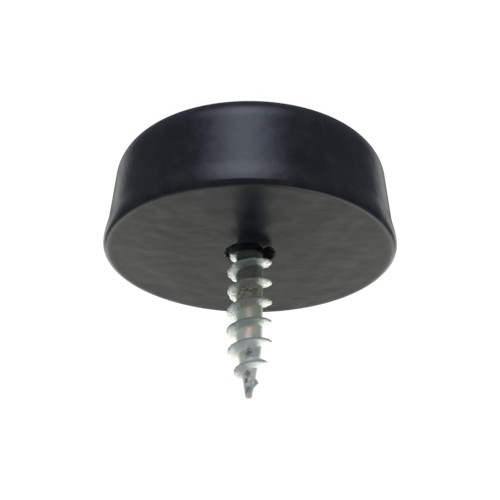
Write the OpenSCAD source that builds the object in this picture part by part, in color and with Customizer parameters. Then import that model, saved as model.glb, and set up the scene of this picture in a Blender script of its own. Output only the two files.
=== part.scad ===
// Round rubber foot, screwed on from below: a tapered rubber moulding, a steel
// washer in its recess, and a pan head wood screw that stands out of the top.
// The foot stands on z = 0 and its mounting face looks up. Sizes in millimetres.

/* [Rubber body] */
// Diameter round the edge of the mounting face
mount_d = 38; // [30:0.5:50]
// Height from the ground to the mounting face
foot_h = 14.3; // [11:0.1:20]
// How far the side wall leans in from the top down to the ground
wall_lean = 1.65; // [0:0.05:2.5]
// Radius of the rounded edge that meets the ground
ground_edge_r = 4.6; // [1:0.1:4.8]
// Radius of the rounded edge round the mounting face
mount_edge_r = 0.75; // [0.3:0.05:1.2]
// How far the mounting edge flares out past the wall
flare_out = 0.15; // [0:0.05:0.5]
// Height over which the wall flares out to the mounting edge
flare_h = 2.8; // [1.6:0.1:4]

/* [Recess and hole] */
// Thickness of the rubber between the washer and the mounting face
web_t = 3.1; // [2:0.1:4]
// Gap between the washer's rim and the wall of the recess
washer_gap = 0.2; // [0.1:0.05:0.5]
// Radius of the rounded mouth of the recess
mouth_r = 0.8; // [0.3:0.1:1.2]
// Gap between the thread and the holes that it passes through
thread_gap = 0.25; // [0.15:0.05:0.5]

/* [Washer] */
// Outer diameter of the washer
washer_d = 15; // [13:0.1:18]
// Thickness of the washer
washer_t = 1.6; // [1:0.1:2]
// Size of the broken edges of the washer
washer_bevel = 0.2; // [0.1:0.05:0.3]

/* [Screw head] */
// Diameter of the pan head
head_d = 11.5; // [9.5:0.1:12.8]
// Height of the pan head
head_h = 3.7; // [3:0.1:4.5]
// Radius of the rounded edge of the head
head_edge_r = 2.3; // [1:0.1:2.8]
// Length of each slot of the cross recess, across the head
cross_span = 5.6; // [4:0.1:6.5]
// Width of each slot of the cross recess
cross_w = 1.1; // [0.8:0.05:1.4]
// Depth of the cross recess
cross_depth = 2.4; // [1.5:0.1:2.8]
// Length of each slot at the bottom of the cross recess
cross_floor = 2.4; // [1.6:0.1:3]

/* [Screw shank] */
// Length of the screw from under its head to its tip
screw_len = 25; // [20:0.5:32]
// Outer diameter of the thread
thread_d = 5.9; // [4.8:0.1:7.2]
// Diameter of the core under the thread
core_d = 3.35; // [2.6:0.05:4.1]
// Rise of the thread in one turn
thread_pitch = 2.8; // [2.2:0.1:3.4]
// Width of the thread where it leaves the core
thread_root_w = 1.3; // [0.8:0.05:1.6]
// Width of the land on the thread's crest
thread_land_w = 0.14; // [0.08:0.02:0.3]
// Length of the tapered point
point_len = 7; // [5:0.1:8]
// Radius of the blunt tip
tip_r = 0.4; // [0.2:0.05:0.6]
// How far below the tip the thread has run out
runout = 1.7; // [1:0.1:2.5]

/* [Hidden] */

$fn = 96;
// how far a cutting shape runs past the face that it cuts
past = 1;
// facets of one turn of the thread
turn_steps = 40;
// turns of thread that swell up from the core next to the head
rise_turns = 1;

mount_r = mount_d / 2;
wall_top_r = mount_r - flare_out;
wall_foot_r = wall_top_r - wall_lean;
wall_angle = atan(wall_lean / foot_h);

hole_d = thread_d + 2 * thread_gap;
recess_d = washer_d + 2 * washer_gap;
seat_z = foot_h - web_t;
bearing_z = seat_z - washer_t;
tip_z = bearing_z + screw_len;
point_z = tip_z - point_len;
runout_z = tip_z - runout;
// the thread starts to shrink this far below the tapered point
fade_z = point_z - 1;
// the shank starts this far up inside the head
shank_z = bearing_z - 0.8;
// the thread starts just above the bearing face
thread_z = bearing_z + thread_root_w;
// steps from the start of the thread to just under the tip
steps = floor(turn_steps * (tip_z - tip_r - thread_root_w / 2 - thread_z) / thread_pitch);

function wall_r(z) = wall_foot_r + z * tan(wall_angle);

// ---- rubber body ----

// half section of the solid moulding, before its holes
module foot_outline() {
    edge_x = wall_r(ground_edge_r) - ground_edge_r / cos(wall_angle);
    tangent = [edge_x + ground_edge_r * cos(wall_angle), ground_edge_r * (1 - sin(wall_angle))];
    flare_z = foot_h - flare_h;
    polygon([
        [0, 0], [edge_x, 0], tangent,
        [wall_r(flare_z), flare_z], [mount_r, foot_h - mount_edge_r],
        [mount_r - mount_edge_r, foot_h], [0, foot_h]
    ]);
    translate([edge_x, ground_edge_r]) circle(r = ground_edge_r);
    translate([mount_r - mount_edge_r, foot_h - mount_edge_r]) circle(r = mount_edge_r);
}

// ring that rounds the mouth of the recess
module mouth_cutter() {
    rotate_extrude()
        difference() {
            translate([recess_d / 2 - past, -past]) square(mouth_r + past);
            translate([recess_d / 2 + mouth_r, mouth_r]) circle(r = mouth_r);
        }
}

module rubber_body() {
    color([0.13, 0.13, 0.14])
        difference() {
            rotate_extrude() foot_outline();
            translate([0, 0, -past]) cylinder(d = recess_d, h = seat_z + past);
            cylinder(d = hole_d, h = foot_h + past);
            mouth_cutter();
        }
}

// ---- washer ----

module washer() {
    color([0.72, 0.73, 0.72])
        translate([0, 0, bearing_z])
            rotate_extrude()
                polygon([
                    [hole_d / 2, 0], [washer_d / 2 - washer_bevel, 0],
                    [washer_d / 2, washer_bevel], [washer_d / 2, washer_t - washer_bevel],
                    [washer_d / 2 - washer_bevel, washer_t], [hole_d / 2, washer_t]
                ]);
}

// ---- wood screw ----

// radius of the core at height z
function core_r(z) = core_d / 2 + (tip_r - core_d / 2) * max(0, (z - point_z) / (tip_z - point_z));

// how much of the full thread stands at height z: it swells up by the head and runs out at the tip
function thread_share(z) =
    let (rise = (z - thread_z) / (rise_turns * thread_pitch),
         fall = (z - fade_z) / (runout_z - fade_z))
    min(1, rise) * (fall < 0 ? 1 : fall > 1 ? 0 : sqrt(1 - fall * fall));

// height of the middle of the thread at one step, and the way it faces there: it passes +X
// level with the mounting face
function step_z(step) = thread_z + thread_pitch * step / turn_steps;
function step_turn(step) = 360 * (step_z(step) - foot_h) / thread_pitch;

// the four corners of the thread at one step: lower root, lower crest, upper crest, upper root
function thread_section(step) =
    let (depth = (thread_d - core_d) / 2 * thread_share(step_z(step)),
         corners = [[-thread_root_w, 0], [-thread_land_w, depth], [thread_land_w, depth], [thread_root_w, 0]])
    [for (corner = corners)
        let (z = step_z(step) + corner[0] / 2) ring_point(step, core_r(z) + corner[1], z)];

function ring_point(step, r, z) = [r * cos(step_turn(step)), r * sin(step_turn(step)), z];

// threaded shank: one strip that winds up the core, closed inside the head and at the tip
module threaded_shank() {
    last = steps - turn_steps;
    sections = [for (step = [0:steps]) each thread_section(step)];
    foot_ring = [for (step = [0:turn_steps - 1]) ring_point(step, core_d / 2, shank_z)];
    tip_ring = [for (step = [0:turn_steps - 1]) ring_point(last + step, tip_r, tip_z - tip_r / 2)];
    points = concat(sections, foot_ring, tip_ring, [[0, 0, tip_z]]);
    foot_at = len(sections);
    tip_at = foot_at + turn_steps;
    apex_at = tip_at + turn_steps;

    // flanks and land of the thread, from one step to the next
    flanks = [for (step = [0:steps - 1], corner = [0:2])
        let (a = 4 * step + corner, b = a + 4) each [[a, a + 1, b + 1], [a, b + 1, b]]];
    // bare core between one turn and the turn above it
    valleys = [for (step = [0:last - 1])
        let (low = 4 * step + 3, high = 4 * (step + turn_steps))
        each [[low, high, high + 4], [low, high + 4, low + 4]]];
    // core below the first turn, down to the flat end inside the head
    foot_faces = [for (step = [0:turn_steps - 2])
        let (low = foot_at + step, high = 4 * step)
        each [[low, high, high + 4], [low, high + 4, low + 1]]];
    foot_seam = [foot_at, 0, 1, 2, 3, 4 * turn_steps, 4 * turn_steps - 4];
    foot_seam_faces = [for (i = [0:len(foot_seam) - 2])
        [foot_seam[i], tip_at - 1, foot_seam[i + 1]]];
    foot_cap = [[for (step = [0:turn_steps - 1]) foot_at + step]];
    // core above the last turn, up to the ring round the tip
    tip_faces = [for (step = [1:turn_steps - 1])
        let (low = 4 * (last + step) + 3, high = tip_at + step,
             next = tip_at + (step + 1) % turn_steps)
        each [[low, high, next], [low, next, low + 4]]];
    end = 4 * steps;
    tip_seam = [4 * last + 7, 4 * last + 3, end, end + 1, end + 2, end + 3, tip_at];
    tip_seam_faces = [for (i = [0:len(tip_seam) - 2])
        [tip_seam[i], tip_seam[i + 1], tip_at + 1]];
    tip_cap = [for (step = [0:turn_steps - 1])
        [tip_at + step, apex_at, tip_at + (step + 1) % turn_steps]];

    polyhedron(points, concat(
        flanks, valleys, foot_faces, foot_seam_faces, foot_cap, tip_faces, tip_seam_faces, tip_cap
    ));
}

// half section of the pan head, with its bearing face on top
module head_outline() {
    low_z = bearing_z - head_h;
    polygon([
        [0, low_z], [head_d / 2 - head_edge_r, low_z], [head_d / 2, low_z + head_edge_r],
        [head_d / 2, bearing_z], [0, bearing_z]
    ]);
    intersection() {
        translate([head_d / 2 - head_edge_r, low_z + head_edge_r]) circle(r = head_edge_r);
        translate([0, low_z]) square([head_d / 2, head_h]);
    }
}

// one tapered slot of the cross recess
module cross_slot() {
    rotate([90, 0, 0])
        linear_extrude(cross_w, center = true)
            polygon([
                [-cross_span / 2, -past], [cross_span / 2, -past], [cross_span / 2, 0],
                [cross_floor / 2, cross_depth], [-cross_floor / 2, cross_depth], [-cross_span / 2, 0]
            ]);
}

module wood_screw() {
    color([0.75, 0.76, 0.74]) {
        threaded_shank();
        difference() {
            rotate_extrude() head_outline();
            translate([0, 0, bearing_z - head_h])
                for (turn = [0, 90]) rotate(turn) cross_slot();
        }
    }
}

rubber_body();
washer();
wood_screw();
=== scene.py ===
from math import atan, ceil, cos, degrees, exp, hypot, pi, radians, sin, sqrt, tan

import bmesh
import bpy
from mathutils import Matrix, Vector, noise


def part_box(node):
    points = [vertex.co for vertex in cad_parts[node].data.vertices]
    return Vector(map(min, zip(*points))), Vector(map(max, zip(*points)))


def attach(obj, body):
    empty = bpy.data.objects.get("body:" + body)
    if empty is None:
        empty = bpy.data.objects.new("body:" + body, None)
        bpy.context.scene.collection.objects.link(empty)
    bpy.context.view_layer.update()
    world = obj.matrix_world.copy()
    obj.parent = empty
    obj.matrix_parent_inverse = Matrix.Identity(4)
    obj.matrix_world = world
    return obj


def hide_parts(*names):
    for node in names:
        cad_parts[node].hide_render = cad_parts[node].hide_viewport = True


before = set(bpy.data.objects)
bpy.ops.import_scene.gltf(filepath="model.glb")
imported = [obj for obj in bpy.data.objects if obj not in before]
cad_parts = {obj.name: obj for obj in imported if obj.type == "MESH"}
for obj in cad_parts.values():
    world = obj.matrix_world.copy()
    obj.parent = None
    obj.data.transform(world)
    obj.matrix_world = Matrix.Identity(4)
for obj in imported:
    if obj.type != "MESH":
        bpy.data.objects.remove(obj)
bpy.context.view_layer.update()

# The foot stands on z = 0 with its mounting face and its screw looking up.
# Meshes are in metres; the materials work in millimetres.
mm = 0.001
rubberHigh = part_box("rubber_body")[1]
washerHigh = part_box("washer")[1]
screwLow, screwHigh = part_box("wood_screw")
faceZ = rubberHigh.z


class Wire:
    # one output socket of a node, so that shader maths reads as plain expressions
    def __init__(self, graph, socket):
        self.graph = graph
        self.socket = socket

    def output(self, name):
        # another output of the same node
        return Wire(self.graph, self.socket.node.outputs[name])

    def __add__(self, other):
        return self.graph.maths("ADD", self, other)

    def __radd__(self, other):
        return self.graph.maths("ADD", other, self)

    def __sub__(self, other):
        return self.graph.maths("SUBTRACT", self, other)

    def __rsub__(self, other):
        return self.graph.maths("SUBTRACT", other, self)

    def __mul__(self, other):
        return self.graph.maths("MULTIPLY", self, other)

    def __rmul__(self, other):
        return self.graph.maths("MULTIPLY", other, self)

    def __truediv__(self, other):
        return self.graph.maths("DIVIDE", self, other)

    def __rtruediv__(self, other):
        return self.graph.maths("DIVIDE", other, self)

    def __pow__(self, other):
        return self.graph.maths("POWER", self, other)

    def __rpow__(self, other):
        return self.graph.maths("POWER", other, self)


class Graph:
    # the node tree of one material or world
    def __init__(self, owner):
        owner.use_nodes = True
        self.tree = owner.node_tree
        self.tree.nodes.clear()

    def node(self, kind, settings=None, values=None, out=0):
        # makes any node: first its settings, then a value or a link for each socket named
        made = self.tree.nodes.new(kind)
        for name, value in (settings or {}).items():
            setattr(made, name, value)
        for name, value in (values or {}).items():
            if isinstance(value, Wire):
                self.tree.links.new(value.socket, made.inputs[name])
            else:
                made.inputs[name].default_value = value
        return Wire(self, made.outputs[out]) if made.outputs else None

    def maths(self, operation, first, second=0):
        return self.node("ShaderNodeMath", {"operation": operation}, {0: first, 1: second})

    def larger(self, first, second):
        return self.maths("MAXIMUM", first, second)

    def smooth(self, value, low, high):
        # 0 below low, 1 above high
        return self.node("ShaderNodeMapRange", {"interpolation_type": "SMOOTHSTEP"},
                         {"Value": value, "From Min": low, "From Max": high})

    def mix(self, mask, first, second):
        # blends two colours, each a wire or three numbers; 6, 7 and 2 are the node's colour sockets
        first, second = [shade if isinstance(shade, Wire) else (*shade, 1) for shade in (first, second)]
        return self.node("ShaderNodeMix", {"data_type": "RGBA"}, {0: mask, 6: first, 7: second}, 2)

    def coat(self, under, look, name, mask):
        # lays a colour of the look over another, as strongly as the look's cover says
        return self.mix(mask * look["cover"][name], under, look[name])

    def noise(self, place, scale, detail=3, rough=0.5, stretch=None):
        if stretch:
            place = self.node("ShaderNodeVectorMath", {"operation": "MULTIPLY"}, {0: place, 1: stretch})
        return self.node("ShaderNodeTexNoise", {"normalize": True},
                         {"Vector": place, "Scale": scale, "Detail": detail, "Roughness": rough})

    def place(self):
        # position in millimetres
        metres = self.node("ShaderNodeNewGeometry")
        return self.node("ShaderNodeVectorMath", {"operation": "SCALE"}, {0: metres, "Scale": 1 / mm})

    def axes(self, place):
        split = self.node("ShaderNodeSeparateXYZ", None, {0: place})
        return [split.output(axis) for axis in range(3)]

    def bump(self, height, distance, strength, under=None):
        values = {"Height": height, "Distance": distance, "Strength": strength}
        if under:
            values["Normal"] = under
        return self.node("ShaderNodeBump", None, values)

    def surface(self, shader, kind="ShaderNodeOutputMaterial"):
        self.node(kind, None, {"Surface": shader})


def reach(first, second):
    # distance from the middle along two axes at right angles
    return (first * first + second * second) ** 0.5


def arcPoints(centre, r, start, end, count):
    # points of an arc, angles in degrees
    turns = [radians(start + (end - start) * i / count) for i in range(count + 1)]
    return [(centre[0] + r * cos(t), centre[1] + r * sin(t)) for t in turns]


def spread(points, step):
    # adds points to a run of straight lines so that none is longer than step
    made = []
    for (r0, z0), (r1, z1) in zip(points, points[1:]):
        count = max(1, ceil(hypot(r1 - r0, z1 - z0) / step))
        made += [(r0 + (r1 - r0) * i / count, z0 + (z1 - z0) * i / count) for i in range(count)]
    return made + [points[-1]]


def ringVerts(bm, r, z, count, wear=None):
    made = []
    for i in range(count):
        turn = 2 * pi * i / count
        place = Vector((r * cos(turn), r * sin(turn), z))
        made.append(bm.verts.new(wear(place) if wear else place))
    return made


def joinRings(bm, low, high):
    for i in range(len(low)):
        j = (i + 1) % len(low)
        bm.faces.new((low[i], low[j], high[j], high[i]))


def makeObject(bm, name):
    mesh = bpy.data.meshes.new(name)
    bm.to_mesh(mesh)
    bm.free()
    made = bpy.data.objects.new(name, mesh)
    bpy.context.collection.objects.link(made)
    return made


def finishPiece(bm, name, material, node, sharpAngle):
    bmesh.ops.recalc_face_normals(bm, faces=bm.faces)
    piece = makeObject(bm, name)
    piece.data.shade_smooth()
    piece.data.set_sharp_from_angle(angle=radians(sharpAngle))
    piece.data.materials.append(material)
    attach(piece, "root")
    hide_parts(node)
    print(name, "has", len(piece.data.vertices), "points")
    return piece


rubber = {
    "lean": 1.65 * mm,          # how far the wall leans in
    "groundEdge": 4.6 * mm,     # radius of the edge that meets the ground
    "mountEdge": 0.75 * mm,     # radius of the edge round the mounting face
    "flareOut": 0.15 * mm,
    "flareHeight": 3.8 * mm,    # the flare fades gently into the wall
    "flareEnd": 0.04,           # slope that is left of the wall where the flare meets the mounting edge
    "flarePoints": 10,
    "holeR": 3.2 * mm,
    "washerGap": 0.2 * mm,
    "mouth": 0.8 * mm,          # radius of the rounded mouth of the recess
    "sides": 240,
    "sharpAngle": 40,
    "faceStep": 0.5 * mm,       # longest step of the outline in the recess and on the mounting face
    "groundStep": 0.6 * mm,     # and on each other stretch
    "wallStep": 0.4 * mm,
    "rimStep": 0.06 * mm,
    "holeStep": 0.12 * mm,
    "burr": 0.30 * mm,          # how far the ragged rim reaches into the hole
    "burrWidth": 0.20 * mm,
    "burrDepth": 0.5 * mm,      # how fast it fades down the hole
    "burrEnd": 1.5 * mm,        # the rest of the hole is smooth
    "burrGrain": 2.6,           # bumps per millimetre
    "chip": 0.06 * mm,          # how far the rim is chipped down
    "chipGrain": 2.3,
    "ripple": 0.02 * mm,        # waviness of the mounting face
    "rippleGrain": 0.26,
    "rippleSkin": 0.05 * mm,    # only points this near the mounting face are moved
    "rippleOuter": 2 * mm,      # the ripple fades in over this far from the outer edge
    "rippleInner": 3 * mm,      # and over this far from the rim of the hole

    "colour": (0.0060, 0.0078, 0.0105),    # moulded rubber, cool black
    "bloom": (0.0125, 0.0155, 0.0195),     # bloom and handling marks
    "scuff": (0.060, 0.060, 0.058),        # faint level scuffs across the mounting face
    "torn": (0.004, 0.004, 0.004),         # raw rubber in the torn rim of the hole
    "inside": (0.05, 0.055, 0.05),         # dusty wall of the hole
    "dust": (0.22, 0.22, 0.20),            # dust caught in the torn rim
    "cover": {"bloom": 0.6, "scuff": 0.35, "torn": 1, "inside": 0.8, "dust": 0.6},
    "roughness": 0.24,
    "faceRoughness": 0.20,                 # the mounting face is smoother than the wall
    "tornRoughness": 0.65,                 # how much rougher the torn rim is
    "specular": 0.4,
    "grain": 7.0,                          # grains per millimetre
    "grainDepth": 0.01 * mm,
    "wispDepth": 0.20 * mm,
}
rimR = rubber["holeR"] + 3 * rubber["burrWidth"]


def makeRubber():
    material = bpy.data.materials.new("blackRubber")
    nodes = Graph(material)
    place = nodes.place()
    x, y, z = nodes.axes(place)
    radius = reach(x, y)
    top = faceZ / mm
    holeR = rubber["holeR"] / mm
    onFace = nodes.smooth(z, top - 0.3, top - 0.05)

    mottle = nodes.smooth(nodes.noise(place, 0.45, 4, 0.55), 0.35, 0.75)
    fine = nodes.noise(place, rubber["grain"], 3, 0.6)
    wisps = nodes.noise(place, 0.40, 3, 0.5, (1.0, 1.0, 1.4)) * (1 - onFace * 0.6)
    inside = 1 - nodes.smooth(radius, holeR, holeR + 0.1)
    inside = inside * (1 - nodes.smooth(z, top - 0.6, top - 0.2))

    # streaks along X, gathered in a few patches
    streaks = nodes.smooth(nodes.noise(place, 1.0, 4, 0.6, (0.12, 1.5, 1.0)), 0.56, 0.74)
    scuff = streaks * nodes.smooth(nodes.noise(place, 0.16, 2), 0.42, 0.62) * onFace

    # a ragged ring round the hole
    ragged = radius + (nodes.noise(place, 1.9, 4, 0.65) - 0.5) * 1.2
    torn = 1 - nodes.smooth(ragged, holeR + 0.05, holeR + 0.3)
    dust = nodes.smooth(nodes.noise(place, 3.8, 3, 0.7), 0.59, 0.65) * torn * onFace

    colour = nodes.coat(rubber["colour"], rubber, "bloom", mottle)
    colour = nodes.coat(colour, rubber, "scuff", scuff)
    colour = nodes.coat(colour, rubber, "torn", torn)
    colour = nodes.coat(colour, rubber, "inside", inside)
    colour = nodes.coat(colour, rubber, "dust", dust)

    rough = rubber["roughness"] + onFace * (rubber["faceRoughness"] - rubber["roughness"])
    rough = rough + mottle * 0.05 + (fine - 0.5) * 0.05 + scuff * 0.10 + torn * rubber["tornRoughness"]
    relief = nodes.bump(fine, rubber["grainDepth"], 0.25)
    relief = nodes.bump(wisps, rubber["wispDepth"], 0.32, relief)
    nodes.surface(nodes.node("ShaderNodeBsdfPrincipled", None, {
        "Base Color": colour, "Roughness": rough, "Normal": relief,
        "Specular IOR Level": rubber["specular"],
    }))
    return material


def rubberOutline():
    # half section as a closed loop, from the hole down, out and up to the hole again
    mountR = rubberHigh.x
    footR = mountR - rubber["flareOut"] - rubber["lean"]
    slope = atan(rubber["lean"] / faceZ)
    recessR = washerHigh.x + rubber["washerGap"]
    seat = washerHigh.z
    mouth = rubber["mouth"]
    groundEdge = rubber["groundEdge"]
    mountEdge = rubber["mountEdge"]
    holeR = rubber["holeR"]

    def wallR(z):
        return footR + z * tan(slope)

    edgeX = wallR(groundEdge) - groundEdge / cos(slope)
    line = spread([(holeR, seat), (recessR, seat), (recessR, mouth)], rubber["faceStep"])
    line += arcPoints((recessR + mouth, mouth), mouth, 180, 270, 8)[1:]
    line += spread([line[-1], (edgeX, 0)], rubber["groundStep"])[1:]
    line += arcPoints((edgeX, groundEdge), groundEdge, -90, -degrees(slope), 24)[1:]
    flareZ = faceZ - rubber["flareHeight"]
    flareR = wallR(flareZ)
    edgeZ = faceZ - mountEdge
    line += spread([line[-1], (flareR, flareZ)], rubber["wallStep"])[1:]
    # the flare leaves the wall along its slope and ends nearly upright
    for i in range(1, rubber["flarePoints"] + 1):
        t = i / rubber["flarePoints"]
        rise = t * t * (3 - 2 * t)
        lean = t * (1 - t) ** 2 * tan(slope) - t * t * (1 - t) * rubber["flareEnd"]
        along = t * (edgeZ - flareZ)
        line.append((flareR + (mountR - flareR) * rise + lean * (edgeZ - flareZ), flareZ + along))
    line += arcPoints((mountR - mountEdge, edgeZ), mountEdge, 0, 90, 10)[1:]
    line += spread([line[-1], (rimR, faceZ)], rubber["faceStep"])[1:]
    line += spread([line[-1], (holeR, faceZ)], rubber["rimStep"])[1:]
    line += spread([line[-1], (holeR, seat)], rubber["holeStep"])[1:-1]
    return line


def wearRubber(place):
    # ragged rim of the screw hole, and the slight waviness of a moulding
    r = hypot(place.x, place.y)
    down = faceZ - place.z
    worn = place.copy()
    if r < rimR and down < rubber["burrEnd"]:
        flat = Vector((place.x, place.y, 0)) / mm
        rag = noise.fractal(flat * rubber["burrGrain"], 0.5, 2.2, 4)
        near = exp(-((r - rubber["holeR"]) / rubber["burrWidth"]) ** 2) * exp(-down / rubber["burrDepth"])
        inward = Vector((-place.x, -place.y, 0)).normalized()
        worn += inward * near * rubber["burr"] * (0.35 + 1.3 * rag)
        chip = 0.5 + noise.noise(flat * rubber["chipGrain"] + Vector((3, 7, 1)))
        worn.z -= near * rubber["chip"] * max(0, chip)
    elif down < rubber["rippleSkin"]:
        ripple = noise.fractal(place / mm * rubber["rippleGrain"], 0.8, 2.1, 3)
        fade = min(1, (rubberHigh.x - r) / rubber["rippleOuter"], (r - rimR) / rubber["rippleInner"])
        worn.z -= rubber["ripple"] * (1 + ripple) * fade
    return worn


def makeRubberBody():
    bm = bmesh.new()
    rings = [ringVerts(bm, r, z, rubber["sides"], wearRubber) for r, z in rubberOutline()]
    for low, high in zip(rings, rings[1:] + rings[:1]):
        joinRings(bm, low, high)
    finishPiece(bm, "rubberBody", makeRubber(), "rubber_body", rubber["sharpAngle"])


screw = {
    "headHeight": 3.7 * mm,
    "headEdge": 2.3 * mm,       # radius of the crown's edge
    "headRim": 0.15 * mm,       # radius of the edge of the bearing face
    "crownFlat": 0.5 * mm,      # radius of the face that closes the crown
    "headStep": 0.5 * mm,       # longest step of the head's outline across it
    "sideStep": 0.4 * mm,       # and along its side
    "crossSpan": 5.6 * mm,
    "crossFloor": 2.4 * mm,
    "crossWidth": 1.1 * mm,
    "crossDepth": 2.4 * mm,
    "crossSpill": 0.3 * mm,     # the cutter's low end is this much longer at each side
    "crossStart": 1 * mm,       # and lies this far below the crown
    "threadR": 2.95 * mm,
    "coreR": 1.675 * mm,
    "pitch": 2.8 * mm,
    "rootWidth": 1.3 * mm,
    "land": 0.11,               # share of the thread's width that its crest takes
    "pointLength": 7 * mm,
    "tipR": 0.4 * mm,
    "fadeBefore": 1 * mm,       # the thread starts to shrink this far before the point
    "runout": 1.7 * mm,
    "steps": 96,                # steps round one turn
    "rows": 26,                 # rows from one turn to the next
    "nick": 0.18 * mm,          # wear of the crest
    "nickFrom": 0.55,           # share of the thread's height above which it is worn
    "nickReach": 12 * mm,       # the wear is heavier up to this far from the rubber
    "skin": 0.012 * mm,         # unevenness of the shank, which leaves out its two ends
    "plainFoot": 0.1 * mm,
    "plainTip": 0.3 * mm,
    "tipShort": 0.02 * mm,      # the last ring lies this far below the tip
    "weld": 0.0015 * mm,        # points nearer to each other than this become one
    "sliver": 0.0005 * mm,      # edges shorter than this are dissolved
    "cutWeld": 0.001 * mm,      # the same for both, after the cross recess is cut
    "sharpAngle": 50,
    "cutSharpAngle": 40,

    "crest": (0.80, 0.83, 0.80),        # clean thread
    "dull": (0.36, 0.38, 0.36),         # worn thread
    "paintedFrontShade": (0.115, 0.150, 0.135),    # painted shade on the front of the thread
    "edge": (0.36, 0.37, 0.36),         # painted shade along the outer edge of the thread
    "core": (0.63, 0.71, 0.59),
    "pale": (0.97, 1.00, 0.91),         # cleaner core towards the tip
    "cool": (0.36, 0.47, 0.47),         # bluish passivation
    "warm": (0.90, 0.55, 0.36),         # pinkish tarnish along the front of the core
    "spot": (0.12, 0.14, 0.12),
    # dark tone: grime on the core near the rubber, painted shade in the hole and on the flanks facing the
    # rubber, and a darker crest at the hole and cross recess
    "darkening": (0.022, 0.038, 0.036),
    "rust": (0.13, 0.10, 0.06),
    "paintedGlint": (0.72, 0.60, 0.40),        # painted glints, bright specks in the rust
    "deep": (0.006, 0.008, 0.008),      # painted shade inside the hole
    "cover": {
        "pale": 1, "cool": 0.5, "warm": 0.5, "spot": 0.8, "dull": 1, "paintedFrontShade": 1, "edge": 0.35,
        "darkening": 1, "rust": 0.66, "paintedGlint": 0.85, "deep": 0.7,
    },
    "crestMetallic": 0.8,
    "coreMetallic": 0.70,
    "roughness": 0.36,
    "grain": 6.0,                       # grains per millimetre
    "grainDepth": 0.05 * mm,
    "cloudDepth": 0.10 * mm,
    # heights above the mounting face in millimetres, from where to where each change runs
    "shankStart": (-3.5, -2.5),         # the wear of the shank starts
    "holeEnd": (0.15, 0.75),            # the painted shade of the hole ends
    "rimEnd": (0.2, 0.4),               # the darkening of the crest that enters the rubber ends
    "soilEnd": (2.0, 10.0),             # the grime on the core ends
    "flankEnd": (5.0, 10.0),            # the painted shade on the flanks ends
    "rustStart": (3.5, 5.0),
    "rustEnd": (6.8, 9.2),
    "paleStart": (8.0, 15.0),
    "wearEnd": (8.0, 14.0),
    "paintedFrontShadeEnd": (10.8, 14.8),
    # stains on the front of the core: height above the mounting face, side, size
    "tarnished": ((8.3, -0.05, 0.85), (11.3, -0.05, 0.95)),
    "stained": ((14.6, 0.05, 0.55), (17.3, 0.1, 0.5), (18.0, 0.3, 0.3), (19.3, 0.1, 0.4)),
}
bearingZ = screwLow.z + screw["headHeight"]


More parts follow.
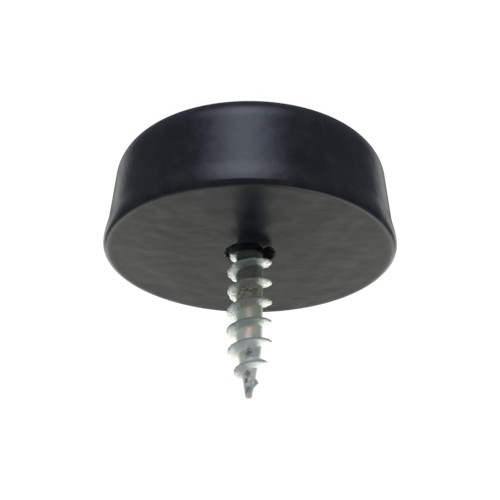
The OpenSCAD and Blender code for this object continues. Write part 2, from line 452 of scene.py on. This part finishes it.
def makeZinc():
    # worn zinc on the screw: pale thread, grey-green core, soiled where it enters the rubber, with painted
    # shade in the hole, on the front of the thread and on the flanks facing the rubber
    material = bpy.data.materials.new("wornZinc")
    nodes = Graph(material)
    place = nodes.place()
    x, y, z = nodes.axes(place)
    radius = reach(x, y)
    coreR = screw["coreR"] / mm
    crestR = screw["threadR"] / mm
    crossR = screw["crossSpan"] / 2 / mm
    headZ = screwLow.z / mm
    pointZ = (screwHigh.z - screw["pointLength"]) / mm
    taper = (screw["coreR"] - screw["tipR"]) / screw["pointLength"]

    def above(band, height=z):
        # 0 below a band of heights over the mounting face, 1 above it
        return nodes.smooth(height, faceZ / mm + band[0], faceZ / mm + band[1])

    cloud = nodes.noise(place, 0.8, 4, 0.6)
    grain = nodes.noise(place, screw["grain"], 3, 0.65)
    freckle = nodes.noise(place, 3.2, 4, 0.7)

    # the shank is worn and soiled and carries painted shade, the head isn't; outer is the thread and the
    # head
    shank = above(screw["shankStart"])
    pointed = nodes.larger(z - pointZ, 0) * taper
    outer = nodes.larger(nodes.smooth(radius + pointed, coreR + 0.02, coreR + 0.35), 1 - shank)
    nearRubber = 1 - above(screw["soilEnd"], z + (cloud - 0.5) * 4.0)

    def blots(places):
        # ragged stains on the front, longer than they are wide
        made = 0
        for height, side, size in places:
            distance = reach(x - side, (z - (faceZ / mm + height)) * 0.6) / size
            made = nodes.larger(1 - nodes.smooth(distance + (freckle - 0.5) * 3.0, 0.25, 1.05), made)
        return made * nodes.smooth(0 - y, 0.05, 0.35)

    warm = blots(screw["tarnished"])
    cool = nodes.smooth(nodes.noise(place, 0.55, 3, 0.5, (0.4, 0.4, 1.0)), 0.50, 0.66)
    spots = nodes.smooth(nodes.noise(place, 1.1, 4, 0.65), 0.66, 0.73)
    spots = nodes.larger(spots, blots(screw["stained"]))

    # a band of rust specks on the front of the core
    rustBand = above(screw["rustStart"]) * (1 - above(screw["rustEnd"]))
    rustBand = rustBand * nodes.smooth(0 - y, 0.0, 0.9) * (1 - outer * 0.6)
    rust = nodes.smooth(nodes.noise(place, 2.0, 4, 0.6), 0.38, 0.60) * rustBand
    # painted glints scattered in the rust band
    paintedGlints = rustBand * nodes.smooth(freckle, 0.53, 0.60)

    # painted shade on the front of the thread, darkest near the rubber
    front = nodes.smooth((x * 0.24 - y * 0.97) / radius + (cloud - 0.5) * 0.6, 0.70, 0.93)
    paintedFrontShade = front * shank * (1 - above(screw["paintedFrontShadeEnd"])) * (0.42 + nearRubber * 0.16)
    paintedFrontShade = paintedFrontShade * (1 - nodes.smooth(freckle, 0.52, 0.62) * 0.6)

    # painted shade in the hole, a darker crest where it enters it, and grime on the core, which is barer in
    # patches and carries painted light on its -X side
    # painted shade on the thread in and just above the mouth of the hole, on its front side
    inHole = (1 - above(screw["holeEnd"])) * (1 - nodes.smooth(y, -0.5, 0.2))
    rim = nodes.smooth(radius + (grain - 0.5) * 0.5, crestR - 0.5, crestR - 0.35)
    rim = rim * (1 - above(screw["rimEnd"]))
    # painted light: the core stays lighter on its -X side; the freckled patches are bare zinc
    bareAndLitSide = nodes.smooth(freckle, 0.50, 0.70) * 0.15 + nodes.smooth(0 - x, 0.7, 1.6) * 0.35
    darkenedPlaces = nodes.larger(nodes.larger(inHole, rim), nearRubber * (1 - outer) * (0.82 - bareAndLitSide))
    # painted shade on the flanks that look at the rubber, which also darkens their reflection in the
    # mounting face
    facing = nodes.axes(nodes.node("ShaderNodeNewGeometry", out="True Normal"))[2]
    facing = nodes.smooth(0 - facing, 0.35, 0.75) * (1 - above(screw["flankEnd"]))
    darkenedPlaces = nodes.larger(darkenedPlaces, facing * outer * 0.5) * shank
    # the cross recess is darkened as well
    recess = (1 - nodes.smooth(radius, crossR + 0.1, crossR + 0.3)) * (1 - shank)
    recess = recess * nodes.smooth(z, headZ + 0.1, headZ + 0.6)
    darkenedPlaces = nodes.larger(darkenedPlaces, recess * 0.85)

    core = nodes.coat(screw["core"], screw, "pale", above(screw["paleStart"]))
    core = nodes.coat(core, screw, "cool", cool)
    core = nodes.coat(core, screw, "warm", warm)
    core = nodes.coat(core, screw, "spot", spots)
    worn = nodes.smooth(freckle, 0.44, 0.66) * (1 - above(screw["wearEnd"]) * 0.8)
    thread = nodes.coat(screw["crest"], screw, "dull", worn)
    thread = nodes.coat(thread, screw, "paintedFrontShade", paintedFrontShade)
    colour = nodes.mix(outer, core, thread)
    # painted shade along the outer edge of the thread
    colour = nodes.coat(colour, screw, "edge", nodes.smooth(radius, crestR - 0.22, crestR - 0.05))
    # grime near the rubber, painted shade in the hole and on the flanks facing the rubber
    colour = nodes.coat(colour, screw, "darkening", darkenedPlaces)
    colour = nodes.coat(colour, screw, "rust", rust)
    colour = nodes.coat(colour, screw, "paintedGlint", paintedGlints)
    # painted shade inside the hole
    colour = nodes.coat(colour, screw, "deep", inHole)

    metallic = screw["coreMetallic"] + outer * (screw["crestMetallic"] - screw["coreMetallic"])
    rough = screw["roughness"] + (grain - 0.5) * 0.2 + darkenedPlaces * 0.2
    relief = nodes.bump(grain, screw["grainDepth"], 0.8)
    relief = nodes.bump(cloud, screw["cloudDepth"], 0.6, relief)
    nodes.surface(nodes.node("ShaderNodeBsdfPrincipled", None, {
        "Base Color": colour, "Roughness": rough, "Normal": relief, "Metallic": metallic,
    }))
    return material


def coreRadius(z):
    # straight, then tapered, then rounded off at the tip
    tipR = screw["tipR"]
    tipZ = screwHigh.z
    pointZ = tipZ - screw["pointLength"]
    r = screw["coreR"] + (tipR - screw["coreR"]) * max(0, (z - pointZ) / (tipZ - pointZ))
    into = z - (tipZ - tipR)
    if into > 0:
        r = min(r, 1.05 * sqrt(max(0, tipR ** 2 - into ** 2)))
    return r


def threadShare(z):
    # how much of the full thread stands at a height: it swells up by the head and runs out at the tip
    startZ = bearingZ + screw["rootWidth"]
    fadeZ = screwHigh.z - screw["pointLength"] - screw["fadeBefore"]
    endZ = screwHigh.z - screw["runout"]
    rise = min(1, max(0, (z - startZ) / screw["pitch"]))
    fall = (z - fadeZ) / (endZ - fadeZ)
    return rise * (1 if fall < 0 else 0 if fall > 1 else sqrt(1 - fall * fall))


def threadHeight(across):
    # height of the ridge at a place across it, from 0 at its middle: sharp land, straight flanks
    land = screw["land"]
    aside = abs(across) / (screw["rootWidth"] / 2)
    return 1 if aside < land else max(0, 1 - (aside - land) / (1 - land))


def crestWear(ridge, turn, midZ):
    # nicks in the crest, heavier near the rubber
    if ridge <= screw["nickFrom"]:
        return 0
    spot = Vector((cos(turn), sin(turn), 0)) * 3 + Vector((0, 0, midZ / mm))
    chips = noise.fractal(spot * 1.6, 0.8, 2.2, 4)
    low = max(0, 1 - (midZ - faceZ) / screw["nickReach"])
    share = (ridge - screw["nickFrom"]) / (1 - screw["nickFrom"])
    return screw["nick"] * share * max(0, chips + 0.2 + 0.5 * low)


def screwPoint(turnAt, across):
    # point of the shank: turnAt is in turns past the mounting face, across runs up over one pitch
    midZ = faceZ + screw["pitch"] * turnAt
    z = min(max(midZ + across, bearingZ), screwHigh.z - screw["tipShort"])
    turn = 2 * pi * turnAt
    depth = (screw["threadR"] - screw["coreR"]) * threadShare(midZ)
    ridge = threadHeight(across)
    r = coreRadius(z) + depth * ridge - crestWear(ridge, turn, midZ) * min(1, depth / mm)
    if bearingZ + screw["plainFoot"] < z < screwHigh.z - screw["plainTip"]:
        r += screw["skin"] * noise.noise(Vector((cos(turn) * 1.7, sin(turn) * 1.7, z / mm)) * 2.1)
    return Vector((r * cos(turn), r * sin(turn), z))


def makeShank(bm):
    # one strip winds up the core; beyond each end its points fall together on one ring
    pitch = screw["pitch"]
    steps = screw["steps"]
    rows = screw["rows"]
    first = int((bearingZ - faceZ) / pitch * steps) - steps
    last = int((screwHigh.z - faceZ) / pitch * steps) + steps
    grid = []
    for step in range(first, last + 1):
        places = [screwPoint(step / steps, pitch * (k / rows - 0.5)) for k in range(rows + 1)]
        grid.append([bm.verts.new(place) for place in places])
    for here, after in zip(grid, grid[1:]):
        for k in range(rows):
            bm.faces.new((here[k], after[k], after[k + 1], here[k + 1]))


def makeHead(bm):
    # pan head, from under its bearing face round to the flat of its crown
    headR = screwHigh.x
    low = screwLow.z
    rim = screw["headRim"]
    crown = screw["headEdge"]
    line = spread([(coreRadius(bearingZ), bearingZ), (headR - rim, bearingZ)], screw["headStep"])
    line += arcPoints((headR - rim, bearingZ - rim), rim, 90, 0, 3)[1:]
    line += spread([line[-1], (headR, low + crown)], screw["sideStep"])[1:]
    line += arcPoints((headR - crown, low + crown), crown, 0, -90, 14)[1:]
    line += spread([line[-1], (screw["crownFlat"], low)], screw["headStep"])[1:]
    rings = [ringVerts(bm, r, z, screw["steps"]) for r, z in line]
    for outer, inner in zip(rings, rings[1:]):
        joinRings(bm, outer, inner)
    bm.faces.new(rings[-1])


def makeCrossCutter():
    # two tapered slots at right angles
    low = screwLow.z
    half = screw["crossWidth"] / 2
    wide = screw["crossSpan"] / 2 + screw["crossSpill"]
    narrow = screw["crossFloor"] / 2
    start = low - screw["crossStart"]
    deep = low + screw["crossDepth"]
    outline = [(-wide, start), (wide, start), (narrow, deep), (-narrow, deep)]
    bm = bmesh.new()
    for turn in (Matrix.Rotation(0, 4, "Z"), Matrix.Rotation(pi / 2, 4, "Z")):
        near = [bm.verts.new(turn @ Vector((x, -half, z))) for x, z in outline]
        far = [bm.verts.new(turn @ Vector((x, half, z))) for x, z in outline]
        bm.faces.new(near)
        bm.faces.new(far[::-1])
        joinRings(bm, far, near)
    bmesh.ops.recalc_face_normals(bm, faces=bm.faces)
    return makeObject(bm, "crossCutter")


def cleanCut(mesh):
    # merges the slivers that a cut leaves, and splits its many-sided faces
    weld = screw["cutWeld"]
    bm = bmesh.new()
    bm.from_mesh(mesh)
    bmesh.ops.remove_doubles(bm, verts=bm.verts, dist=weld)
    bmesh.ops.dissolve_degenerate(bm, edges=bm.edges, dist=weld)
    bmesh.ops.triangulate(bm, faces=[face for face in bm.faces if len(face.verts) > 4])
    bm.to_mesh(mesh)
    bm.free()
    mesh.set_sharp_from_angle(angle=radians(screw["cutSharpAngle"]))


def cutCross(piece):
    # cuts the cross recess out of the crown
    cutter = makeCrossCutter()
    cut = piece.modifiers.new("cross", "BOOLEAN")
    cut.operation = "DIFFERENCE"
    cut.solver = "EXACT"
    cut.use_self = True
    cut.object = cutter
    evaluated = piece.evaluated_get(bpy.context.evaluated_depsgraph_get())
    ready = bpy.data.meshes.new_from_object(evaluated)
    piece.modifiers.clear()
    cleanCut(ready)
    piece.data = ready
    bpy.data.objects.remove(cutter)


def makeWoodScrew():
    bm = bmesh.new()
    makeShank(bm)
    makeHead(bm)
    bmesh.ops.remove_doubles(bm, verts=bm.verts, dist=screw["weld"])
    bmesh.ops.dissolve_degenerate(bm, edges=bm.edges, dist=screw["sliver"])
    openEdges = [edge for edge in bm.edges if edge.is_boundary]
    bmesh.ops.holes_fill(bm, edges=openEdges, sides=2 * screw["steps"])
    piece = finishPiece(bm, "woodScrew", makeZinc(), "wood_screw", screw["sharpAngle"])
    cutCross(piece)


washer = {
    "zinc": (0.62, 0.64, 0.62),
    "dull": (0.44, 0.46, 0.45),
    "darkening": (0.07, 0.07, 0.065),
    "cover": {"dull": 1, "darkening": 0.85},
    "metallic": 0.85,
    "roughness": 0.34,
    "turning": 9.0,             # turning marks per millimetre of radius
    "turningDepth": 0.02 * mm,
}


def makeWasherZinc():
    # turned and plated face, darker towards its rim
    material = bpy.data.materials.new("washerZinc")
    nodes = Graph(material)
    place = nodes.place()
    radius = reach(*nodes.axes(place)[:2])
    cloud = nodes.noise(place, 0.6, 4, 0.6)
    rings = nodes.node("ShaderNodeTexNoise", {"noise_dimensions": "1D"}, {"W": radius * washer["turning"]})
    outerR = washerHigh.x / mm
    # darker towards the rim
    darkenedPlaces = nodes.smooth(radius + (cloud - 0.5) * 3.5, outerR - 1.6, outerR + 0.2)
    colour = nodes.coat(washer["zinc"], washer, "dull", nodes.smooth(cloud, 0.42, 0.62))
    colour = nodes.coat(colour, washer, "darkening", darkenedPlaces)
    rough = washer["roughness"] + (cloud - 0.5) * 0.3 + darkenedPlaces * 0.2
    nodes.surface(nodes.node("ShaderNodeBsdfPrincipled", None, {
        "Base Color": colour, "Roughness": rough, "Metallic": washer["metallic"],
        "Normal": nodes.bump(rings, washer["turningDepth"], 0.6),
    }))
    return material


def dressWasher():
    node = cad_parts["washer"]
    material = makeWasherZinc()
    if node.data.materials:
        for slot in node.material_slots:
            slot.material = material
    else:
        node.data.materials.append(material)


studio = {
    "floorReach": 1.4,          # half the side of the floor
    "floorGap": 0.02 * mm,      # the floor lies this far below the foot
    "floorShade": (0.12, 0.12, 0.12),
    "floorCloud": (0.1152, 0.1152, 0.1164),
    "floorGlow": 0.97,
    "faceDistance": 247 * mm,   # camera to the middle of the mounting face
    "elevation": 26.35,         # degrees above the plane of the mounting face
    "roll": 0.53,               # degrees that the camera leans over
    "lens": 137.4,
    "sensor": 36,
    "aimDown": 0.46 * mm,       # the camera aims this far below the middle of the mounting face
    "nearest": 10 * mm,         # the camera sees nothing nearer or farther than these
    "farthest": 20000 * mm,
}


def makeFloor():
    # a pale sheet that is lit from above and clear from below
    bm = bmesh.new()
    size = studio["floorReach"]
    corners = ((-size, -size), (size, -size), (size, size), (-size, size))
    bm.faces.new([bm.verts.new((x, y, -studio["floorGap"])) for x, y in corners])
    floor = makeObject(bm, "floor")
    material = bpy.data.materials.new("paleFloor")
    material.cycles.emission_sampling = "NONE"
    nodes = Graph(material)
    tone = nodes.mix(nodes.noise(nodes.place(), 0.02, 2), studio["floorShade"], studio["floorCloud"])
    sheet = nodes.node("ShaderNodeBsdfDiffuse", None, {"Color": tone})
    glow = nodes.node("ShaderNodeEmission", None, {"Color": (1, 1, 1, 1), "Strength": studio["floorGlow"]})
    lit = nodes.node("ShaderNodeAddShader", None, {0: sheet, 1: glow})
    clear = nodes.node("ShaderNodeBsdfTransparent")
    below = nodes.node("ShaderNodeNewGeometry", out="Backfacing")
    nodes.surface(nodes.node("ShaderNodeMixShader", None, {0: below, 1: lit, 2: clear}))
    floor.data.materials.append(material)
    floor.visible_glossy = False     # the black rubber mirrors the room, not the sheet it stands on
    floor.visible_shadow = False


room = {
    "seen": (1, 1, 1),                # the plain backdrop
    "ambient": (0.75, 0.75, 0.76),    # soft light on dull surfaces
    # what glossy surfaces mirror; behind is +Y, and the window is in front, at -Y
    "dark": (0.09, 0.105, 0.135),     # in front and at the sides
    "low": (0.85, 0.85, 0.76),        # right behind the foot, near its level
    "high": (0.20, 0.20, 0.175),      # and higher up
    "sides": (1.75, 1.78, 1.68),      # behind, to the left and right
    "under": (0.07, 0.08, 0.10),      # behind and below
    "corner": (0.30, 0.30, 0.30),     # behind, far out to the sides
    "ceiling": (0.22, 0.28, 0.25),    # a dark patch straight above the screw
    "window": (2.48, 2.68, 3.28),     # broad soft light, low in front
    "windowFoot": (3.4, 3.6, 4.3),    # its brighter lower end
    "ceilingSide": 0.20,              # middle of the ceiling patch and of the window, along X
    "windowSide": 0.08,
    # from where to where each change runs, along one axis of a direction of length 1
    "highStart": (0.34, 0.54),
    "sidesStart": (0.0, 0.20),
    "underStart": (0.10, 0.35),
    "underReach": (0.22, 0.50),
    "cornerStart": (0.42, 0.60),
    "cornerFoot": (-0.2, 0.05),
    "ceilingStart": (0.58, 0.85),
    "ceilingReach": (0.10, 0.42),
    "behindStart": (0.28, 0.78),
    "behindTilt": 0.35,               # the border between front and behind leans over by this
    "windowStart": (-0.12, 0.6),
    "windowReach": (0.0, 0.52),
    "windowTop": (-0.54, -0.24),
    "windowFootStart": (0.74, 0.90),
}


def makeRoom():
    # the room seen in the gloss: pale behind the foot, dark in front, with one broad low window
    world = bpy.data.worlds.new("room")
    bpy.context.scene.world = world
    nodes = Graph(world)
    x, y, z = nodes.axes(nodes.node("ShaderNodeTexCoord"))

    def past(value, name):
        return nodes.smooth(value, *room[name])

    def aside(middle):
        return nodes.maths("ABSOLUTE", x - middle)

    behind = nodes.mix(past(z, "highStart"), room["low"], room["high"])
    behind = nodes.mix(past(aside(0), "sidesStart"), behind, room["sides"])
    under = past(0 - z, "underStart") * (1 - past(aside(0), "underReach"))
    behind = nodes.mix(under, behind, room["under"])
    corner = past(aside(0), "cornerStart") * past(z, "cornerFoot")
    behind = nodes.mix(corner, behind, room["corner"])
    ceiling = past(z, "ceilingStart") * (1 - past(aside(room["ceilingSide"]), "ceilingReach"))
    behind = nodes.mix(ceiling, behind, room["ceiling"])
    shade = nodes.mix(past(y + z * room["behindTilt"], "behindStart"), room["dark"], behind)
    window = past(0 - y, "windowStart") * (1 - past(aside(room["windowSide"]), "windowReach"))
    window = window * (1 - past(z, "windowTop"))
    pane = nodes.mix(past(0 - z, "windowFootStart"), room["window"], room["windowFoot"])
    shade = nodes.mix(window, shade, pane)

    rays = nodes.node("ShaderNodeLightPath")
    colour = nodes.mix(rays.output("Is Glossy Ray"), room["ambient"], shade)
    colour = nodes.mix(rays.output("Is Camera Ray"), colour, room["seen"])
    nodes.surface(nodes.node("ShaderNodeBackground", None, {"Color": colour}), "ShaderNodeOutputWorld")


def makeCamera():
    data = bpy.data.cameras.new("camera")
    data.sensor_width = studio["sensor"]
    data.lens = studio["lens"]
    data.clip_start = studio["nearest"]
    data.clip_end = studio["farthest"]
    camera = bpy.data.objects.new("camera", data)
    tilt = radians(studio["elevation"])
    face = Vector((0, 0, faceZ))
    camera.location = face + Vector((0, -cos(tilt), sin(tilt))) * studio["faceDistance"]
    back = (camera.location - face + Vector((0, 0, studio["aimDown"]))).normalized()
    # the foot is shown with its screw pointing down, so the camera hangs upside down
    up = back.cross(Vector((-1, 0, 0))).normalized()
    right = up.cross(back)
    turn = Matrix((right, up, back)).transposed().to_4x4() @ Matrix.Rotation(radians(studio["roll"]), 4, "Z")
    camera.rotation_mode = "QUATERNION"
    camera.rotation_quaternion = turn.to_quaternion()
    bpy.context.collection.objects.link(camera)
    bpy.context.scene.camera = camera


print("room, floor and camera")
makeRoom()
makeFloor()
makeCamera()
bpy.context.scene.view_settings.view_transform = "Standard"

print("rubber body")
makeRubberBody()
print("wood screw")
makeWoodScrew()
print("washer")
dressWasher()
